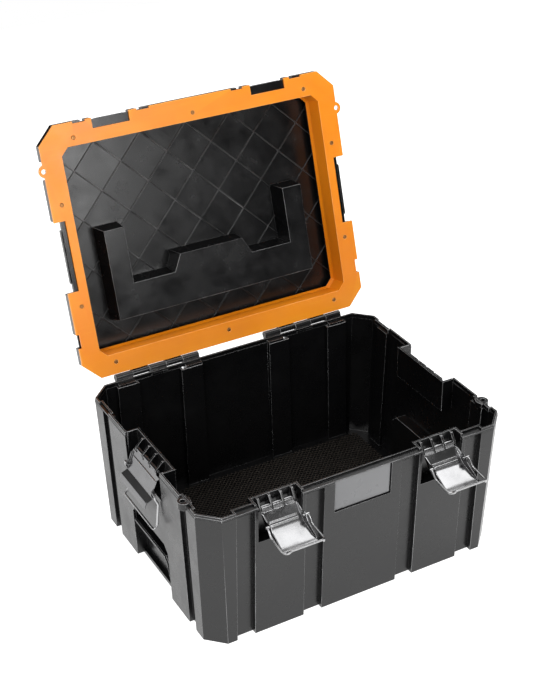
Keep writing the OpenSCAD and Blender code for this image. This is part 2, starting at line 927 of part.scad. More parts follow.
module lid_shell() {
    top_t = wall;
    roof_z = lid_top - top_t;
    well_floor = lid_top - well_d;
    color([0.08, 0.08, 0.085])
    opened()
    difference() {
        union() {
            // Flange, hollow below, closed by the frame
            difference() {
                translate([0, 0, shell_z])
                    linear_extrude(flange_z - shell_z)
                        flange_plan(0);
                translate([0, 0, shell_z - over])
                    linear_extrude(flange_z - shell_z - wall + over)
                        difference() {
                            flange_plan(wall);
                            box_plan(0);
                        }
                translate([0, 0, shell_z - over])
                    linear_extrude(flange_z - shell_z + 2 * over)
                        box_plan(wall);
            }
            // Raised box above the flange, with its roof
            difference() {
                translate([0, 0, shell_z])
                    linear_extrude(lid_top - shell_z)
                        box_plan(0);
                translate([0, 0, shell_z - over])
                    linear_extrude(roof_z - shell_z + over)
                        box_plan(wall);
                stack_recess();
            }
            translate([0, 0, roof_z - lattice_h])
                linear_extrude(lattice_h + eps)
                    lattice_plan();
            well_outside();
            screw_places()
                translate([0, 0, shell_z])
                    cylinder(r = boss_r, h = flange_z - shell_z - 1, $fn = 32);
            keepers();
            both([1, 0, 0])
                for (i = [1, 3]) knuckle(i) lid_knuckle();
        }
        translate([0, 0, well_floor])
            linear_extrude(well_d + over)
                well_plan(well_wall);
        screw_places()
            translate([0, 0, shell_z - over])
                cylinder(r = screw_r + fit, h = over + 7, $fn = 24);
        both([1, 0, 0]) {
            hinge_bore();
            handle_bore(handle_pin_r + fit, well_in - over, well_half + over);
        }
    }
}

// Shallow field in the roof that takes the foot of the case stacked on top
module stack_recess() {
    translate([0, 0, lid_top - 2])
        linear_extrude(2 + over)
            translate([0, open_dy])
                octagon(box_x - 9, box_y - 9, opening_cut);
}

module handle_bore(r, from, to) {
    translate([from, handle_y, handle_z])
        rotate([0, 90, 0])
            cylinder(r = r, h = to - from, $fn = 40);
}

module frame_plan() {
    difference() {
        union() {
            octagon(half_w, half_d, corner_cut);
            both([1, 0])
                translate([half_w - eye_r, eye_y])
                    eye_plan();
        }
        notches(front_notch_half, side_notch_half, 0);
        edge_steps(
            [[latch_x - step_set - frame_step, latch_x - step_set],
             [latch_x + step_set - 3, latch_x + step_set - 3 + frame_step]],
            step_d, 0);
    }
}

module lid_frame() {
    lip = 5.5;
    lip_in = 2.6;
    color([1, 0.56, 0.07])
    opened()
    difference() {
        union() {
            translate([0, 0, frame_z])
                linear_extrude(frame_t)
                    frame_plan();
            translate([0, 0, frame_z])
                linear_extrude(frame_deep)
                    opening_plan(frame_wall);
        }
        translate([0, 0, frame_z - over])
            linear_extrude(frame_deep - lip + over + eps)
                opening_plan(0);
        translate([0, 0, frame_z + frame_deep - lip])
            linear_extrude(lip + eps, scale = [1 - lip_in / open_x, 1 - lip_in / open_y], slices = 1)
                opening_plan(0);
        screw_places() {
            translate([0, 0, frame_z - over])
                cylinder(r = screw_head_r + 0.4, h = over + screw_head_t, $fn = 32);
            translate([0, 0, frame_z])
                cylinder(r = screw_r + fit, h = frame_t + over, $fn = 24);
        }
        both([1, 0, 0])
            eye_hole(frame_z, frame_z + frame_t);
    }
}

module frame_screws() {
    color([0.55, 0.55, 0.57])
    opened()
    screw_places() {
        translate([0, 0, frame_z + 0.1])
            cylinder(r = screw_head_r, h = screw_head_t - 0.1, $fn = 32);
        translate([0, 0, frame_z + 1])
            cylinder(r = screw_r, h = frame_t + 4.5, $fn = 24);
    }
}

module grip_section() {
    r = 6;
    y0 = grip_y1 - grip_bar;
    z0 = handle_z - handle_t / 2;
    hull() {
        for (y = [y0 + r, grip_y1 - r])
            for (z = [z0 + r, z0 + handle_t - r])
                translate([y, z])
                    circle(r = r, $fn = 32);
    }
}

module carry_handle() {
    z0 = handle_z - handle_t / 2;
    half_arm = arm_w / 2;
    color([0.09, 0.09, 0.095])
    opened()
    difference() {
        union() {
            both([1, 0, 0]) {
                along_x(arm_x - half_arm, arm_x + half_arm) {
                    translate([handle_y, handle_z])
                        circle(r = handle_t / 2, $fn = 48);
                    translate([handle_y, z0])
                        square([grip_y1 - handle_y - 6, handle_t]);
                }
            }
            along_x(-arm_x - half_arm, arm_x + half_arm)
                grip_section();
        }
        both([1, 0, 0])
            handle_bore(handle_pin_r + fit, arm_x - arm_w, arm_x + arm_w);
    }
}

module handle_pins() {
    color([0.6, 0.6, 0.62])
    opened()
    both([1, 0, 0])
        handle_bore(handle_pin_r, well_in + 0.2, well_half - 0.2);
}

tub();
label_plate();
hinge_pin(-1);  // hinge_pin_left
hinge_pin(1);  // hinge_pin_right
at_front(-1) latch_rod(front_lug_pitch);  // latch_rod_front_left
at_front(1) latch_rod(front_lug_pitch);  // latch_rod_front_right
at_side(-1) latch_rod(side_lug_pitch);  // latch_rod_side_left
at_side(1) latch_rod(side_lug_pitch);  // latch_rod_side_right
at_front(-1) front_lever();  // lever_front_left
at_front(1) front_lever();  // lever_front_right
at_side(-1) side_lever();  // lever_side_left
at_side(1) side_lever();  // lever_side_right
at_front(-1) front_bail();  // bail_front_left
at_front(1) front_bail();  // bail_front_right
at_side(-1) side_bail();  // bail_side_left
at_side(1) side_bail();  // bail_side_right
lid_shell();
lid_frame();
frame_screws();
carry_handle();
handle_pins();
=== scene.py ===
"""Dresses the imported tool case: moulded plastic, plated latches, fine fittings and a studio."""
import json
import math

import bmesh
import bpy
from bpy.props import FloatProperty, FloatVectorProperty, PointerProperty
from mathutils import Matrix, Vector


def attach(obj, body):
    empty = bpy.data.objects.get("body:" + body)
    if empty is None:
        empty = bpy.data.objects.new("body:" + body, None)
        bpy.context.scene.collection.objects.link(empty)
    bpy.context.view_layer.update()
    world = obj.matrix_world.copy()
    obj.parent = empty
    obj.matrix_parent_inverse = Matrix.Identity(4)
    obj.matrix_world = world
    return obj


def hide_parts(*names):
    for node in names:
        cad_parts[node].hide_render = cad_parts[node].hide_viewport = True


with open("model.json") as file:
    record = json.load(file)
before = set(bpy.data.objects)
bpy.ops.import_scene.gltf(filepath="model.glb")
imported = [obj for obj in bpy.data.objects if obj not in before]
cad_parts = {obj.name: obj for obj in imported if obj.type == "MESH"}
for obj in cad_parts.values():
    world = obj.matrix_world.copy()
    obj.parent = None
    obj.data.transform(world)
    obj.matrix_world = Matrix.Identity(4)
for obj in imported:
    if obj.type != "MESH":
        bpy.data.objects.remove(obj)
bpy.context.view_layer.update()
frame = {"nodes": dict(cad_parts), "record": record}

bl_info = {
    "name": "Tool Case Dresser",
    "version": (1, 0, 0),
    "blender": (4, 5, 0),
    "location": "View3D > Sidebar > Tool Case",
    "description": "Finishes the stackable tool case and lights it in a plain studio",
    "category": "Object",
}

MM = 0.001
LATCHES = ("front_left", "front_right", "side_left", "side_right")
HINGE_PINS = ("hinge_pin_left", "hinge_pin_right")
ZINC_PINS = ("handle_pins", *("latch_rod_" + latch for latch in LATCHES))

# Refraction of the mouldings, and of the floor, which hardly mirrors
PLASTIC_IOR = 1.5
FLOOR_IOR = 1.06

# Floor pattern: its base just above the tub's floor, the half sides of its field, a rib's
# half width and its section as (across, up) shares of half width and height
PATTERN_BASE = 3.1 * MM
PATTERN_REACH = (193.0 * MM, 149.0 * MM)
RIB_HALF = 0.66 * MM
RIB_SECTION = ((-1.0, 0.0), (-0.72, 0.62), (-0.28, 0.95), (0.28, 0.95), (0.72, 0.62), (1.0, 0.0))
RIB_SHORTEST = 2.0 * MM
# Share of a rib's height at which its painted highlight begins
RIB_HIGHLIGHT_FROM = 0.7

# Frame screws, in millimetres and with the lid closed: (x, y) of each, the height of their
# faces and the turn from one screw's cross to the next
SCREW_ROWS = ((172.0, -150.5), (172.0, 154.5), (204.5, 68.5), (204.5, -68.5))
SCREW_MIDDLES = ((0.0, -150.5), (0.0, 154.5))
SCREW_FACE = 200.4
SCREW_TURN = math.radians(37.0)
# Half length and half width of the cross recess, and its share of them at the bottom
CROSS_LONG, CROSS_SLIM, CROSS_TAPER = 1.45, 0.34, 0.6
# (radius, depth) rings of the head, from its face to the shank
HEAD_FACE = 1.9
HEAD = ((2.4, 0.15), (2.6, 0.5), (2.6, 1.7), (1.5, 1.7))
# Thread: root and crest radius, first depth, step and number of rings, then the point
THREAD_ROOT, THREAD_CREST = 1.15, 1.5
THREAD_FROM, THREAD_STEP, THREAD_RINGS = 2.2, 0.5, 12
POINT = (0.4, 8.4)
CIRCLE_SIDES = 24

# Each light: its name, its power setting, its two sides, its place and what it faces
LIGHTS = (
    ("key light", "key_power", (1.5, 1.5), (-0.3, 0.1, 2.4), (0.0, 0.0, 0.15)),
    ("fill light", "fill_power", (1.2, 1.2), (-1.9, -1.6, 1.9), (0.0, 0.1, 0.35)),
    ("back light", "back_power", (1.6, 1.4), (1.2, 0.7, 2.4), (0.0, -0.2, 0.2)),
    ("front light", "front_power", (0.7, 0.9), (0.38, -2.05, 1.1), (0.0, 0.3, 0.45)),
    ("side light", "side_power", (1.2, 1.2), (-2.2, -0.3, 1.2), (0.0, 0.0, 0.15)),
)
# Height share at which the room starts to brighten and at which it is brightest
SKY_RISE = (0.45, 0.95)
SENSOR_WIDTH = 36.0
LENS_SHIFT = (0.0006, 0.0017)
# Stage floor: its gap under the case, its grey and its roughness
STAGE_DROP = 0.3 * MM
STAGE_GREY = (0.55, 0.55, 0.55)
STAGE_ROUGHNESS = 0.85
WHITE = (1.0, 1.0, 1.0, 1.0)


# Sizes and colours

class CaseColours(bpy.types.PropertyGroup):
    """Colours of the case's own materials"""
    body: FloatVectorProperty(
        name="Body plastic", description="Colour of the tub and the lid",
        default=(0.0030, 0.0030, 0.0033), min=0.0, max=1.0, subtype="COLOR",
    )
    frame: FloatVectorProperty(
        name="Frame plastic", description="Colour of the frame under the lid",
        default=(0.97, 0.26, 0.006), min=0.0, max=1.0, subtype="COLOR",
    )
    handle: FloatVectorProperty(
        name="Handle plastic", description="Colour of the carry handle",
        default=(0.0030, 0.0030, 0.0033), min=0.0, max=1.0, subtype="COLOR",
    )
    label: FloatVectorProperty(
        name="Label", description="Colour of the bare label plate",
        default=(0.137, 0.138, 0.142), min=0.0, max=1.0, subtype="COLOR",
    )
    plating: FloatVectorProperty(
        name="Plating", description="Colour of the levers",
        default=(0.20, 0.20, 0.203), min=0.0, max=1.0, subtype="COLOR",
    )
    # Also used on the levers' rounded edges, where it is a painted highlight, partly polish
    wire: FloatVectorProperty(
        name="Wire", description="Colour of the bright bails",
        default=(0.48, 0.48, 0.485), min=0.0, max=1.0, subtype="COLOR",
    )
    # Painted highlight: the paler colour of the black plastic's rounded edges stands in for light
    # they catch, broken up like rubbed wear
    edge_highlight_and_wear: FloatVectorProperty(
        name="Edge highlight and wear", description="Paler colour of the black plastic's edges, a painted highlight and wear",
        default=(0.33, 0.33, 0.335), min=0.0, max=1.0, subtype="COLOR",
    )
    # Painted highlight: the rib tops are paler, standing in for light on them; the cells between
    # get painted shade
    lit_rib_tops: FloatVectorProperty(
        name="Lit rib tops", description="Colour of the tops of the small ribs on the tub's floor, painted paler as a highlight",
        default=(0.066, 0.057, 0.049), min=0.0, max=1.0, subtype="COLOR",
    )
    # Painted highlight: the frame's rounded edges turn cream, standing in for light they catch,
    # partly wear
    frame_edge_highlight_and_wear: FloatVectorProperty(
        name="Frame edge highlight and wear", description="Paler colour of the frame's edges, a painted highlight and wear",
        default=(1.0, 0.52, 0.15), min=0.0, max=1.0, subtype="COLOR",
    )
    zinc: FloatVectorProperty(
        name="Zinc", description="Colour of the latch rods and handle pins",
        default=(0.42, 0.42, 0.44), min=0.0, max=1.0, subtype="COLOR",
    )
    blackened: FloatVectorProperty(
        name="Blackened steel", description="Colour of the hinge pins",
        default=(0.03, 0.03, 0.032), min=0.0, max=1.0, subtype="COLOR",
    )
    # Painted shade: the screws are coloured dark orange-brown to stand in for their shaded
    # recesses in the orange frame
    screws: FloatVectorProperty(
        name="Screws", description="Dark orange-brown of the screws, painted shade of their recesses",
        default=(0.45, 0.22, 0.08), min=0.0, max=1.0, subtype="COLOR",
    )


class CaseDetails(bpy.types.PropertyGroup):
    """Sizes of the fine details"""
    edge_radius: FloatProperty(
        name="Moulded edge", description="Rounding of the plastic's edges",
        default=0.42 * MM, min=0.1 * MM, max=2.0 * MM, unit="LENGTH", precision=4,
    )
    sheet_edge: FloatProperty(
        name="Sheet edge", description="Rounding of the levers' edges",
        default=0.25 * MM, min=0.05 * MM, max=0.5 * MM, unit="LENGTH", precision=5,
    )
    waffle_pitch: FloatProperty(
        name="Floor pattern pitch", description="Spacing of the small ribs on the tub's floor",
        default=4.75 * MM, min=3.0 * MM, max=12.0 * MM, unit="LENGTH", precision=4,
    )
    waffle_height: FloatProperty(
        name="Floor pattern height", description="Height of the small ribs on the tub's floor",
        default=1.5 * MM, min=0.2 * MM, max=2.0 * MM, unit="LENGTH", precision=4,
    )
    recess_depth: FloatProperty(
        name="Screw recess", description="Depth of the cross recess in each screw head",
        default=1.0 * MM, min=0.4 * MM, max=1.4 * MM, unit="LENGTH", precision=4,
    )


class CaseStudio(bpy.types.PropertyGroup):
    """Camera, floor and lights"""
    camera_place: FloatVectorProperty(
        name="Camera", description="Where the camera stands",
        default=(-0.7791, -1.3535, 1.2064), subtype="TRANSLATION", unit="LENGTH",
    )
    camera_angles: FloatVectorProperty(
        name="Camera angles", description="How the camera is turned",
        default=tuple(math.radians(a) for a in (59.351, 0.741, -29.223)),
        subtype="EULER", unit="ROTATION",
    )
    lens: FloatProperty(
        name="Lens", description="Focal length for a frame 36 mm long",
        default=72.83, min=20.0, max=200.0, unit="CAMERA",
    )
    key_power: FloatProperty(
        name="Key light", description="Power of the large light above",
        default=10.0, min=0.0, max=500.0, unit="POWER",
    )
    fill_power: FloatProperty(
        name="Fill light", description="Power of the soft light at the upper left in front",
        default=40.0, min=0.0, max=500.0, unit="POWER",
    )
    back_power: FloatProperty(
        name="Back light", description="Power of the light high behind, seen in the front levers",
        default=31.0, min=0.0, max=500.0, unit="POWER",
    )
    front_power: FloatProperty(
        name="Front light", description="Power of the soft light in front, which the lid mirrors",
        default=17.0, min=0.0, max=500.0, unit="POWER",
    )
    side_power: FloatProperty(
        name="Side light", description="Power of the light from the left",
        default=3.0, min=0.0, max=500.0, unit="POWER",
    )
    sky_low: FloatProperty(
        name="Room", description="Brightness of the room around the case",
        default=0.03, min=0.0, max=5.0,
    )
    sky_high: FloatProperty(
        name="Ceiling", description="Brightness of the room above the case",
        default=0.6, min=0.0, max=5.0,
    )
    floor_glow: FloatProperty(
        name="Floor glow", description="Light that the floor gives off, like a lit white sweep",
        default=0.90, min=0.0, max=3.0,
    )
    floor_size: FloatProperty(
        name="Floor", description="Length of the floor's sides",
        default=4.6, min=2.0, max=50.0, unit="LENGTH",
    )


# Material nodes

class Nodes:
    """Short way to lay out a material's nodes"""

    def __init__(self, name):
        self.material = bpy.data.materials.new(name)
        self.material.use_nodes = True
        self.tree = self.material.node_tree
        self.tree.nodes.clear()
        self.output = self.add("ShaderNodeOutputMaterial")
        self.shader = self.add("ShaderNodeBsdfPrincipled")
        self.join(self.shader, "BSDF", self.output, "Surface")
        self.place = self.add("ShaderNodeTexCoord")

    def add(self, kind, **settings):
        node = self.tree.nodes.new(kind)
        for key, value in settings.items():
            setattr(node, key, value)
        return node

    def join(self, source, output, target, socket):
        self.tree.links.new(source.outputs[output], target.inputs[socket])

    def noise(self, scale, detail=2.0, roughness=0.5, stretch=None):
        node = self.add("ShaderNodeTexNoise")
        node.inputs["Scale"].default_value = scale
        node.inputs["Detail"].default_value = detail
        node.inputs["Roughness"].default_value = roughness
        if stretch is None:
            self.join(self.place, "Object", node, "Vector")
        else:
            mapping = self.add("ShaderNodeMapping")
            mapping.inputs["Scale"].default_value = stretch
            self.join(self.place, "Object", mapping, "Vector")
            self.join(mapping, "Vector", node, "Vector")
        return node

    def spread(self, source, output, low, high, from_low=0.3, from_high=0.7):
        node = self.add("ShaderNodeMapRange")
        node.inputs["From Min"].default_value = from_low
        node.inputs["From Max"].default_value = from_high
        node.inputs["To Min"].default_value = low
        node.inputs["To Max"].default_value = high
        self.join(source, output, node, "Value")
        return node

    def blend(self, factor, factor_output, first, second):
        """Mixes two colours, each a plain value or an earlier mix"""
        node = self.add("ShaderNodeMix", data_type="RGBA")
        self.join(factor, factor_output, node, "Factor")
        for socket, value in (("A", first), ("B", second)):
            entry = [s for s in node.inputs if s.name == socket and s.type == "RGBA"][0]
            if isinstance(value, bpy.types.Node):
                self.tree.links.new(self.colour_result(value), entry)
            else:
                entry.default_value = (*value, 1.0)
        return node

    def colour_result(self, mix):
        return [s for s in mix.outputs if s.type == "RGBA"][0]

    def bump(self, height, output, strength, depth, below=None):
        node = self.add("ShaderNodeBump")
        node.inputs["Strength"].default_value = strength
        node.inputs["Distance"].default_value = depth
        self.join(height, output, node, "Height")
        if below is not None:
            self.join(below, "Normal", node, "Normal")
        return node

    def paint(self, mix):
        """Uses a mix as the surface's colour"""
        self.tree.links.new(self.colour_result(mix), self.shader.inputs["Base Color"])

    def polish(self, texture, low, high):
        """Varies the roughness between two values"""
        self.join(self.spread(texture, "Fac", low, high), "Result", self.shader, "Roughness")

    def emboss(self, bump):
        """Uses a bump as the surface's relief"""
        self.join(bump, "Normal", self.shader, "Normal")


def shade(colour, factor):
    """A colour made darker or lighter"""
    return tuple(min(1.0, c * factor) for c in colour)


def moulded_plastic(name, colour, roughness, grain=0.35, scuffs=0.25):
    """Injection-moulded plastic: fine grain, faint flow clouds, scuffed places, and convex edges
    painted paler as a highlight, partly wear
    """
    n = Nodes(name)
    clouds = n.spread(n.noise(7.0, detail=3.0, roughness=0.55), "Fac", 0.0, 1.0)
    body = n.blend(clouds, "Result", shade(colour, 0.86), shade(colour, 1.14))
    scratches = n.noise(26.0, detail=5.0, roughness=0.6, stretch=(1.0, 1.0, 14.0))
    scuffed = n.spread(scratches, "Fac", 0.0, scuffs, 0.56, 0.78)
    paler_finish = n.blend(scuffed, "Result", body, shade(colour, 1.9))
    # Painted highlight: convex edges turn paler, standing in for light caught there, partly
    # rubbed wear
    edges = n.add("ShaderNodeNewGeometry")
    edge_highlight_and_wear = n.spread(edges, "Pointiness", 0.0, 0.35, 0.53, 0.62)
    n.paint(n.blend(edge_highlight_and_wear, "Result", paler_finish, shade(colour, 2.2)))
    patches = n.noise(34.0, detail=4.0, roughness=0.6)
    n.polish(patches, roughness - 0.05, roughness + 0.07)
    waves = n.bump(n.noise(16.0, detail=1.0), "Fac", 0.12, 1.2 * MM)
    n.emboss(n.bump(n.noise(2100.0, detail=2.0), "Fac", grain, 0.06 * MM, below=waves))
    n.shader.inputs["IOR"].default_value = PLASTIC_IOR
    return n.material


def highlit_worn_edge(name, colour, pale, roughness):
    """The plastic's edges: painted paler where they stand out and the noise marks rubs, a painted
    highlight partly wear; its own colour elsewhere
    """
    n = Nodes(name)
    rubs = n.spread(n.noise(24.0, detail=4.0, roughness=0.6), "Fac", 0.45, 1.0, 0.38, 0.62)
    proud = n.spread(n.add("ShaderNodeNewGeometry"), "Pointiness", 0.0, 1.0, 0.5, 0.53)
    paler_finish = n.add("ShaderNodeMath", operation="MULTIPLY")
    n.join(rubs, "Result", paler_finish, 0)
    n.join(proud, "Result", paler_finish, 1)
    n.paint(n.blend(paler_finish, "Value", colour, pale))
    n.polish(n.noise(90.0, detail=3.0), roughness - 0.06, roughness + 0.08)
    n.emboss(n.bump(n.noise(700.0, detail=2.0), "Fac", 0.15, 0.05 * MM))
    n.shader.inputs["IOR"].default_value = PLASTIC_IOR
    return n.material


def floor_with_painted_light(name, colour, ribs, low, high):
    """The tub's floor: cells darkened to near black as painted shade, and fine ribs painted paler
    from low to high as a highlight on their tops
    """
    n = Nodes(name)
    parts = n.add("ShaderNodeSeparateXYZ")
    n.join(n.place, "Object", parts, "Vector")
    rise = n.spread(parts, "Z", 0.0, 1.0, low, high)
    # Painted shade in the cells at 3 % of the colour, painted highlight on the rib tops
    n.paint(n.blend(rise, "Result", shade(colour, 0.03), ribs))
    n.polish(n.noise(40.0, detail=4.0), 0.42, 0.6)
    n.emboss(n.bump(n.noise(900.0, detail=2.0), "Fac", 0.3, 0.06 * MM))
    n.shader.inputs["IOR"].default_value = FLOOR_IOR
    return n.material


def plated_steel(name, colour, roughness=0.09):
    """Bright plated sheet: faint drawing lines, cloudy polish and dull fingered places"""
    n = Nodes(name)
    tarnish = n.spread(n.noise(18.0, detail=5.0, roughness=0.6), "Fac", 0.0, 1.0, 0.35, 0.75)
    n.paint(n.blend(tarnish, "Result", colour, shade(colour, 0.8)))
    n.polish(n.noise(40.0, detail=6.0, roughness=0.65), roughness, roughness + 0.2)
    lines = n.noise(60.0, detail=3.0, stretch=(1.0, 1.0, 30.0))
    n.emboss(n.bump(lines, "Fac", 0.10, 0.05 * MM))
    n.shader.inputs["Metallic"].default_value = 1.0
    return n.material


def zinc_steel(name, colour):
    """Plated pins and screws: crystalline patches, even and dull"""
    n = Nodes(name)
    crystals = n.add("ShaderNodeTexVoronoi")
    crystals.inputs["Scale"].default_value = 900.0
    n.join(n.place, "Object", crystals, "Vector")
    patches = n.spread(crystals, "Distance", 0.0, 1.0, 0.1, 0.8)
    n.paint(n.blend(patches, "Result", shade(colour, 0.82), shade(colour, 1.15)))
    n.polish(n.noise(300.0, detail=3.0), 0.3, 0.48)
    n.emboss(n.bump(crystals, "Distance", 0.15, 0.04 * MM))
    n.shader.inputs["Metallic"].default_value = 1.0
    return n.material


def give(piece, material):
    """Puts one material on all of a piece"""
    piece.data.materials.clear()
    piece.data.materials.append(material)


def soften(piece, width, segments=2, paler_finish=None, corners=True):
    """Rounds a piece's sharp edges to catch the light, and may give them a paler finish: a
    painted highlight, partly wear
    """
    mesh = piece.data
    custom = mesh.attributes.get("custom_normal")
    if custom is not None:
        mesh.attributes.remove(custom)
    mesh.polygons.foreach_set("use_smooth", [True] * len(mesh.polygons))
    weld = piece.modifiers.new("join corners", "WELD")
    weld.merge_threshold = 0.002 * MM
    flat = piece.modifiers.new("merge flats", "DECIMATE")
    flat.decimate_type = "DISSOLVE"
    flat.angle_limit = math.radians(0.5)
    if corners:
        piece.modifiers.new("plain corners", "TRIANGULATE")
    edge = piece.modifiers.new("round edges", "BEVEL")
    edge.width = width
    edge.segments = segments
    edge.limit_method = "ANGLE"
    edge.angle_limit = math.radians(32.0)
    edge.use_clamp_overlap = False
    # Painted highlight: the rounded edges may get a paler material, partly standing for wear
    if paler_finish is not None:
        mesh.materials.append(paler_finish)
        edge.material = len(mesh.materials) - 1
    even = piece.modifiers.new("even shading", "WEIGHTED_NORMAL")
    even.weight = 80
    even.keep_sharp = False


def build(name, body, material, fill):
    """Makes a mesh piece from a function that fills a bmesh, and lets it ride on a body"""
    work = bmesh.new()
    fill(work)
    bmesh.ops.recalc_face_normals(work, faces=work.faces)
    mesh = bpy.data.meshes.new(name)
    work.to_mesh(mesh)
    work.free()
    piece = bpy.data.objects.new(name, mesh)
    bpy.context.scene.collection.objects.link(piece)
    give(piece, material)
    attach(piece, body)
    return piece


# Pieces

class TOOLCASE_OT_body(bpy.types.Operator):
    """Finish the tub, its label plate and its pins"""
    bl_idname = "toolcase.body"
    bl_label = "Finish Tub"

    def execute(self, context):
        colours, details = context.scene.case_colours, context.scene.case_details
        body = moulded_plastic("body plastic", tuple(colours.body), 0.28)
        # The tub's rounded edges get the paler colour: a painted highlight, partly wear
        edge_highlight_and_wear = tuple(colours.edge_highlight_and_wear)
        edges = highlit_worn_edge("rubbed body plastic", tuple(colours.body), edge_highlight_and_wear, 0.3)
        tub = frame["nodes"]["tub"]
        give(tub, body)
        soften(tub, details.edge_radius, paler_finish=edges)
        label = frame["nodes"]["label_plate"]
        grey = tuple(colours.label)
        give(label, moulded_plastic("label plastic", grey, 0.3, grain=0.1, scuffs=0.0))
        soften(label, details.sheet_edge)
        zinc = zinc_steel("zinc steel", tuple(colours.zinc))
        for name in ZINC_PINS:
            give(frame["nodes"][name], zinc)
        black = zinc_steel("blackened steel", tuple(colours.blackened))
        for name in HINGE_PINS:
            give(frame["nodes"][name], black)
        return {"FINISHED"}


class TOOLCASE_OT_floor_pattern(bpy.types.Operator):
    """Lay the fine crossed ribs on the tub's floor"""
    bl_idname = "toolcase.floor_pattern"
    bl_label = "Lay Floor Pattern"

    def execute(self, context):
        colours, details = context.scene.case_colours, context.scene.case_details
        reach_x, reach_y = PATTERN_REACH
        high = details.waffle_height

        def rib(work, start, end):
            along = (end - start).normalized()
            across = Vector((-along.y, along.x, 0.0)) * RIB_HALF
            rows = [
                [work.verts.new(place + across * a + Vector((0.0, 0.0, PATTERN_BASE + h * high)))
                 for a, h in RIB_SECTION]
                for place in (start, end)
            ]
            for k in range(len(RIB_SECTION) - 1):
                corners = (rows[0][k], rows[0][k + 1], rows[1][k + 1], rows[1][k])
                work.faces.new(corners).smooth = True

        def fill(work):
            corners = ((-1, -1), (1, -1), (1, 1), (-1, 1))
            work.faces.new([
                work.verts.new((x * reach_x, y * reach_y, PATTERN_BASE)) for x, y in corners])
            step = details.waffle_pitch * math.sqrt(2.0)
            count = int((reach_x + reach_y) / step)
            for lean in (1.0, -1.0):
                for number in range(-count, count + 1):
                    shift = number * step
                    ends = []
                    for x in (-reach_x, reach_x):
                        y = min(max(lean * (x - shift), -reach_y), reach_y)
                        ends.append(Vector((lean * y + shift, y, 0.0)))
                    if (ends[1] - ends[0]).length > RIB_SHORTEST:
                        rib(work, ends[0], ends[1])

        finish = floor_with_painted_light(
            "floor plastic", tuple(colours.body), tuple(colours.lit_rib_tops),
            PATTERN_BASE + RIB_HIGHLIGHT_FROM * high, PATTERN_BASE + high)
        build("floor_pattern", "tub", finish, fill)
        return {"FINISHED"}


class TOOLCASE_OT_lid(bpy.types.Operator):
    """Finish the lid's shell and its frame"""
    bl_idname = "toolcase.lid"
    bl_label = "Finish Lid"

    def execute(self, context):
        colours, details = context.scene.case_colours, context.scene.case_details
        shell = frame["nodes"]["lid_shell"]
        radius = details.edge_radius * 0.8
        give(shell, moulded_plastic("lid plastic", tuple(colours.body), 0.22))
        # Painted highlight on the rounded edges of the shell and the frame: paler colours, partly
        # wear
        soften(shell, radius, paler_finish=bpy.data.materials["rubbed body plastic"])
        ring = frame["nodes"]["lid_frame"]
        orange = tuple(colours.frame)
        give(ring, moulded_plastic("frame plastic", orange, 0.34, grain=0.2, scuffs=0.12))
        rim = highlit_worn_edge("rubbed frame plastic", orange, tuple(colours.frame_edge_highlight_and_wear), 0.34)
        soften(ring, radius, paler_finish=rim, corners=False)
        return {"FINISHED"}


class TOOLCASE_OT_screws(bpy.types.Operator):
    """Make the frame's screws with domed heads and cross recesses"""
    bl_idname = "toolcase.screws"
    bl_label = "Make Screws"

    def execute(self, context):
        colours, details = context.scene.case_colours, context.scene.case_details
        # The dark orange-brown screw colour is painted shade of their recesses
        material = zinc_steel("screw steel", tuple(colours.screws))
        joints = frame["record"]["behaviour"]["joints"]
        hinge = [joint for joint in joints if joint["name"] == "lid_hinge"][0]
        axis = Matrix.Translation(Vector(hinge["pos_m"]))
        swing = Matrix.Rotation(-math.radians(hinge["range_deg"][1]), 4, "X")
        opened = axis @ swing @ axis.inverted()
        places = [(side * x, y) for side in (-1, 1) for x, y in SCREW_ROWS]
        places += SCREW_MIDDLES

        def fill(work):
            for number, (x, y) in enumerate(places):
                turn = Matrix.Rotation(SCREW_TURN * number, 4, "Z")
                seat = Matrix.Translation((x * MM, y * MM, SCREW_FACE * MM))
                self.screw(work, opened @ seat @ turn, details.recess_depth)

        screws = build("screws", "lid", material, fill)
        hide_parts("frame_screws")
        return {"FINISHED"}

    def screw(self, work, place, recess):
        """One screw with its head's face at the place and its shank along Z"""
        def loop(points, z):
            return [work.verts.new(place @ Vector((x * MM, y * MM, z))) for x, y in points]

        def circle(radius, z):
            turns = [math.tau * k / CIRCLE_SIDES for k in range(CIRCLE_SIDES)]
            return loop([(radius * math.cos(t), radius * math.sin(t)) for t in turns], z * MM)

        def pairs(ring):
            return [(ring[k], ring[(k + 1) % len(ring)]) for k in range(len(ring))]

        def wall(first, second):
            for (a, b), (c, d) in zip(pairs(first), pairs(second)):
                work.faces.new((a, b, d, c))

        corner = [(CROSS_SLIM, CROSS_SLIM), (CROSS_SLIM, CROSS_LONG), (-CROSS_SLIM, CROSS_LONG)]
        cross = []
        for _ in range(4):
            cross += corner
            corner = [(-y, x) for x, y in corner]
        mouth = loop(cross, 0.0)
        bottom = loop([(x * CROSS_TAPER, y * CROSS_TAPER) for x, y in cross], recess)
        wall(mouth, bottom)
        work.faces.new(bottom)
        face = circle(HEAD_FACE, 0.0)
        edges = [work.edges.get(pair) or work.edges.new(pair)
                 for ring in (mouth, face) for pair in pairs(ring)]
        bmesh.ops.triangle_fill(work, edges=edges, use_beauty=True)
        rings = [face] + [circle(radius, depth) for radius, depth in HEAD]
        for k in range(THREAD_RINGS):
            radius = THREAD_CREST if k % 2 else THREAD_ROOT
            rings.append(circle(radius, THREAD_FROM + THREAD_STEP * k))
        rings.append(circle(*POINT))
        for first, second in zip(rings, rings[1:]):
            wall(first, second)
        work.faces.new(rings[-1])


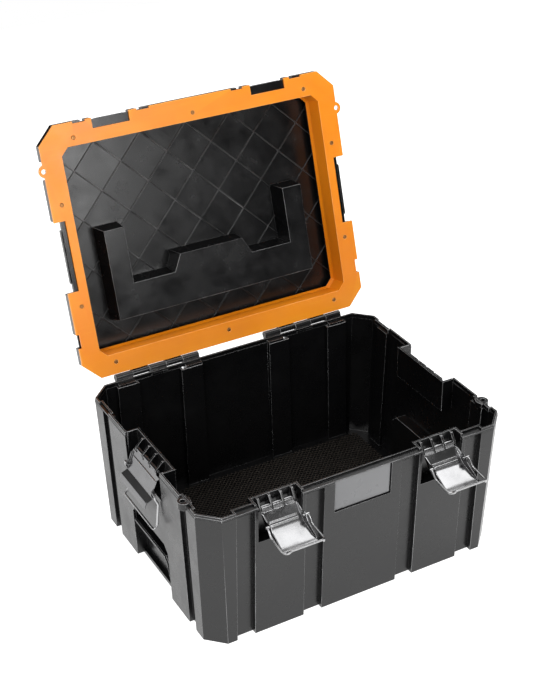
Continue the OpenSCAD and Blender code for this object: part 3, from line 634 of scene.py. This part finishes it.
class TOOLCASE_OT_latches(bpy.types.Operator):
    """Finish the four levers and their wire bails"""
    bl_idname = "toolcase.latches"
    bl_label = "Finish Latches"

    def execute(self, context):
        colours, details = context.scene.case_colours, context.scene.case_details
        plating = plated_steel("plated steel", tuple(colours.plating))
        wire = plated_steel("wire steel", tuple(colours.wire), 0.2)
        for latch in LATCHES:
            lever, bail = frame["nodes"]["lever_" + latch], frame["nodes"]["bail_" + latch]
            give(lever, plating)
            # Painted highlight: the levers' rounded edges get the brighter wire steel, partly
            # polish
            soften(lever, details.sheet_edge, paler_finish=wire)
            give(bail, wire)
        return {"FINISHED"}


class TOOLCASE_OT_handle(bpy.types.Operator):
    """Finish the carry handle"""
    bl_idname = "toolcase.handle"
    bl_label = "Finish Handle"

    def execute(self, context):
        colours, details = context.scene.case_colours, context.scene.case_details
        handle = frame["nodes"]["carry_handle"]
        black = tuple(colours.handle)
        give(handle, moulded_plastic("handle plastic", black, 0.42, grain=0.5))
        soften(handle, details.edge_radius, segments=3)
        return {"FINISHED"}


class TOOLCASE_OT_studio(bpy.types.Operator):
    """Set the camera, the pale floor and the soft lights"""
    bl_idname = "toolcase.studio"
    bl_label = "Set Studio"

    def execute(self, context):
        studio = context.scene.case_studio
        camera_data = bpy.data.cameras.new("camera")
        camera_data.lens = studio.lens
        camera_data.sensor_width = SENSOR_WIDTH
        camera_data.shift_x, camera_data.shift_y = LENS_SHIFT
        camera = bpy.data.objects.new("camera", camera_data)
        camera.location = studio.camera_place
        camera.rotation_euler = studio.camera_angles
        context.scene.collection.objects.link(camera)
        context.scene.camera = camera
        self.lay_floor(context, studio.floor_size)
        for name, power, size, place, aim in LIGHTS:
            self.add_light(context, name, getattr(studio, power), size, place, aim)
        self.hang_sky(context, studio)
        context.scene.view_settings.view_transform = "Standard"
        return {"FINISHED"}

    def hang_sky(self, context, studio):
        """A room that is dim at eye level and bright overhead, shown pale behind the case"""
        world = bpy.data.worlds.new("soft room")
        world.use_nodes = True
        tree = world.node_tree
        tree.nodes.clear()
        place = tree.nodes.new("ShaderNodeTexCoord")
        parts = tree.nodes.new("ShaderNodeSeparateXYZ")
        rise = tree.nodes.new("ShaderNodeMapRange")
        rise.interpolation_type = "SMOOTHSTEP"
        rise.inputs["From Min"].default_value, rise.inputs["From Max"].default_value = SKY_RISE
        rise.inputs["To Min"].default_value = studio.sky_low
        rise.inputs["To Max"].default_value = studio.sky_high
        tree.links.new(place.outputs["Generated"], parts.inputs["Vector"])
        tree.links.new(parts.outputs["Z"], rise.inputs["Value"])
        room = tree.nodes.new("ShaderNodeBackground")
        tree.links.new(rise.outputs["Result"], room.inputs["Strength"])
        behind = tree.nodes.new("ShaderNodeBackground")
        rays = tree.nodes.new("ShaderNodeLightPath")
        choice = tree.nodes.new("ShaderNodeMixShader")
        tree.links.new(rays.outputs["Is Camera Ray"], choice.inputs["Fac"])
        tree.links.new(room.outputs["Background"], choice.inputs[1])
        tree.links.new(behind.outputs["Background"], choice.inputs[2])
        output = tree.nodes.new("ShaderNodeOutputWorld")
        tree.links.new(choice.outputs["Shader"], output.inputs["Surface"])
        for node in (room, behind):
            node.inputs["Color"].default_value = WHITE
        context.scene.world = world

    def lay_floor(self, context, size):
        """A pale floor under the case that glows a little"""
        mesh = bpy.data.meshes.new("floor")
        half = size / 2
        corners = [(-half, -half), (half, -half), (half, half), (-half, half)]
        mesh.from_pydata([(x, y, -STAGE_DROP) for x, y in corners], [], [(0, 1, 2, 3)])
        floor = bpy.data.objects.new("floor", mesh)
        context.scene.collection.objects.link(floor)
        n = Nodes("pale floor")
        glow = context.scene.case_studio.floor_glow
        n.shader.inputs["Base Color"].default_value = (*STAGE_GREY, 1.0)
        n.shader.inputs["Roughness"].default_value = STAGE_ROUGHNESS
        n.shader.inputs["Emission Color"].default_value = WHITE
        n.shader.inputs["Emission Strength"].default_value = glow
        give(floor, n.material)

    def add_light(self, context, name, power, size, place, aim):
        """A soft rectangular light turned towards its aim"""
        data = bpy.data.lights.new(name, "AREA")
        data.energy = power
        data.shape = "RECTANGLE"
        data.size, data.size_y = size
        lamp = bpy.data.objects.new(name, data)
        lamp.location = place
        facing = Vector(aim) - Vector(place)
        lamp.rotation_euler = facing.to_track_quat("-Z", "Y").to_euler()
        context.scene.collection.objects.link(lamp)


class TOOLCASE_PT_panel(bpy.types.Panel):
    """The case's pieces and settings"""
    bl_idname = "TOOLCASE_PT_panel"
    bl_label = "Tool Case"
    bl_space_type = "VIEW_3D"
    bl_region_type = "UI"
    bl_category = "Tool Case"

    def draw(self, context):
        scene = context.scene
        for group in (scene.case_colours, scene.case_details, scene.case_studio):
            box = self.layout.box()
            for key in group.__annotations__:
                box.prop(group, key)
        for operator in OPERATORS:
            self.layout.operator(operator.bl_idname)


GROUPS = (CaseColours, CaseDetails, CaseStudio)
OPERATORS = (
    TOOLCASE_OT_body, TOOLCASE_OT_floor_pattern, TOOLCASE_OT_lid, TOOLCASE_OT_screws,
    TOOLCASE_OT_latches, TOOLCASE_OT_handle, TOOLCASE_OT_studio,
)
CLASSES = (*GROUPS, *OPERATORS, TOOLCASE_PT_panel)


def register():
    for entry in CLASSES:
        bpy.utils.register_class(entry)
    bpy.types.Scene.case_colours = PointerProperty(type=CaseColours)
    bpy.types.Scene.case_details = PointerProperty(type=CaseDetails)
    bpy.types.Scene.case_studio = PointerProperty(type=CaseStudio)


def unregister():
    del bpy.types.Scene.case_colours
    del bpy.types.Scene.case_details
    del bpy.types.Scene.case_studio
    for entry in reversed(CLASSES):
        bpy.utils.unregister_class(entry)


def main():
    register()
    bpy.ops.toolcase.body()
    bpy.ops.toolcase.floor_pattern()
    bpy.ops.toolcase.lid()
    bpy.ops.toolcase.screws()
    bpy.ops.toolcase.latches()
    bpy.ops.toolcase.handle()
    bpy.ops.toolcase.studio()


if __name__ == "__main__":
    main()
